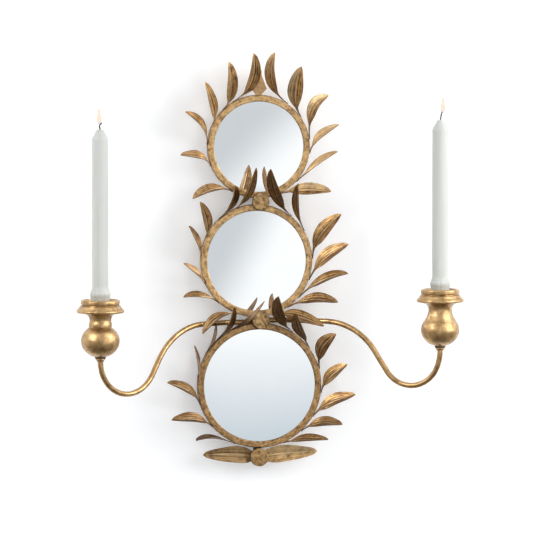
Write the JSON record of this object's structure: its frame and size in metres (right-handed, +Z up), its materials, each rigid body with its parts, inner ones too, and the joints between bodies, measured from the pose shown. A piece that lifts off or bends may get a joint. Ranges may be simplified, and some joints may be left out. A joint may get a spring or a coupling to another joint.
{
  "type": "mirrored candle sconce",
  "caption": "Wall sconce of round mirrors in a column, wreathed in creased gilded leaves, with bent rod arms that carry turned cups and tapered candles.",
  "frame": {"origin": "centre of the hanging eye, at the back face of the hanging plate", "axes": "+Z up, +Y into the wall, +X to the right as seen from in front of the mirrors"},
  "size_m": [0.5285, 0.162, 0.5661],
  "materials": {
    "gilded_ring": "matte antique gold leaf over brown, hammered like bark",
    "gilded_leaf": "antique gold leaf rubbed back to brown, satin on the raised veins",
    "gilded_disc": "matte antique gold leaf",
    "gilded_plate": "matte antique gold leaf",
    "gilded_rod": "satin antique gold leaf with brown in the shaded side",
    "gilded_cup": "burnished antique gold leaf worn to brown in lines",
    "bronze_iron": "dark brown patina",
    "mirror_glass": "clear silvered glass",
    "backing_board": "dark brown board",
    "steel_tabs": "dull plated steel",
    "felt": "dark brown felt",
    "candle_wax": "smooth pale ivory grey wax",
    "wick_cotton": "charred cotton"
  },
  "bodies": {
    "sconce": {"hanging_plate": "gilded_plate", "spine_bar": "bronze_iron", "wall_pads": "felt", "top_ring": "gilded_ring", "middle_ring": "gilded_ring", "bottom_ring": "gilded_ring", "top_mirror": "mirror_glass", "middle_mirror": "mirror_glass", "bottom_mirror": "mirror_glass", "top_backing": "backing_board", "middle_backing": "backing_board", "bottom_backing": "backing_board", "backing_tabs": "steel_tabs", "upper_disc": "gilded_disc", "lower_disc": "gilded_disc", "bottom_disc": "gilded_disc", "left_arm": "gilded_rod", "right_arm": "gilded_rod", "arm_collars": "gilded_rod", "cup_washers": "bronze_iron", "cup_screws": "steel_tabs", "left_cup": "gilded_cup", "right_cup": "gilded_cup", "top_leaves_1": "gilded_leaf", "top_leaves_2": "gilded_leaf", "top_leaves_3": "gilded_leaf", "top_leaves_4": "gilded_leaf", "top_leaves_5": "gilded_leaf", "top_leaves_6": "gilded_leaf", "middle_leaves_1": "gilded_leaf", "middle_leaves_2": "gilded_leaf", "middle_leaves_3": "gilded_leaf", "middle_leaves_4": "gilded_leaf", "middle_leaves_5": "gilded_leaf", "middle_leaves_6": "gilded_leaf", "middle_leaves_7": "gilded_leaf", "bottom_leaves_1": "gilded_leaf", "bottom_leaves_2": "gilded_leaf", "bottom_leaves_3": "gilded_leaf", "bottom_leaves_4": "gilded_leaf", "bottom_leaves_5": "gilded_leaf", "bottom_leaves_6": "gilded_leaf", "bottom_leaves_7": "gilded_leaf", "base_leaves": "gilded_leaf"},
    "left_candle": {"left_candle": "candle_wax", "left_wick": "wick_cotton"},
    "right_candle": {"right_candle": "candle_wax", "right_wick": "wick_cotton"}
  },
  "joints": [
    {"name": "left_candle_lift", "type": "slide", "parent": "sconce", "child": "left_candle", "axis": [0, 0, 1], "range_m": [0, 0.035]},
    {"name": "right_candle_lift", "type": "slide", "parent": "sconce", "child": "right_candle", "axis": [0, 0, 1], "range_m": [0, 0.035]}
  ]
}
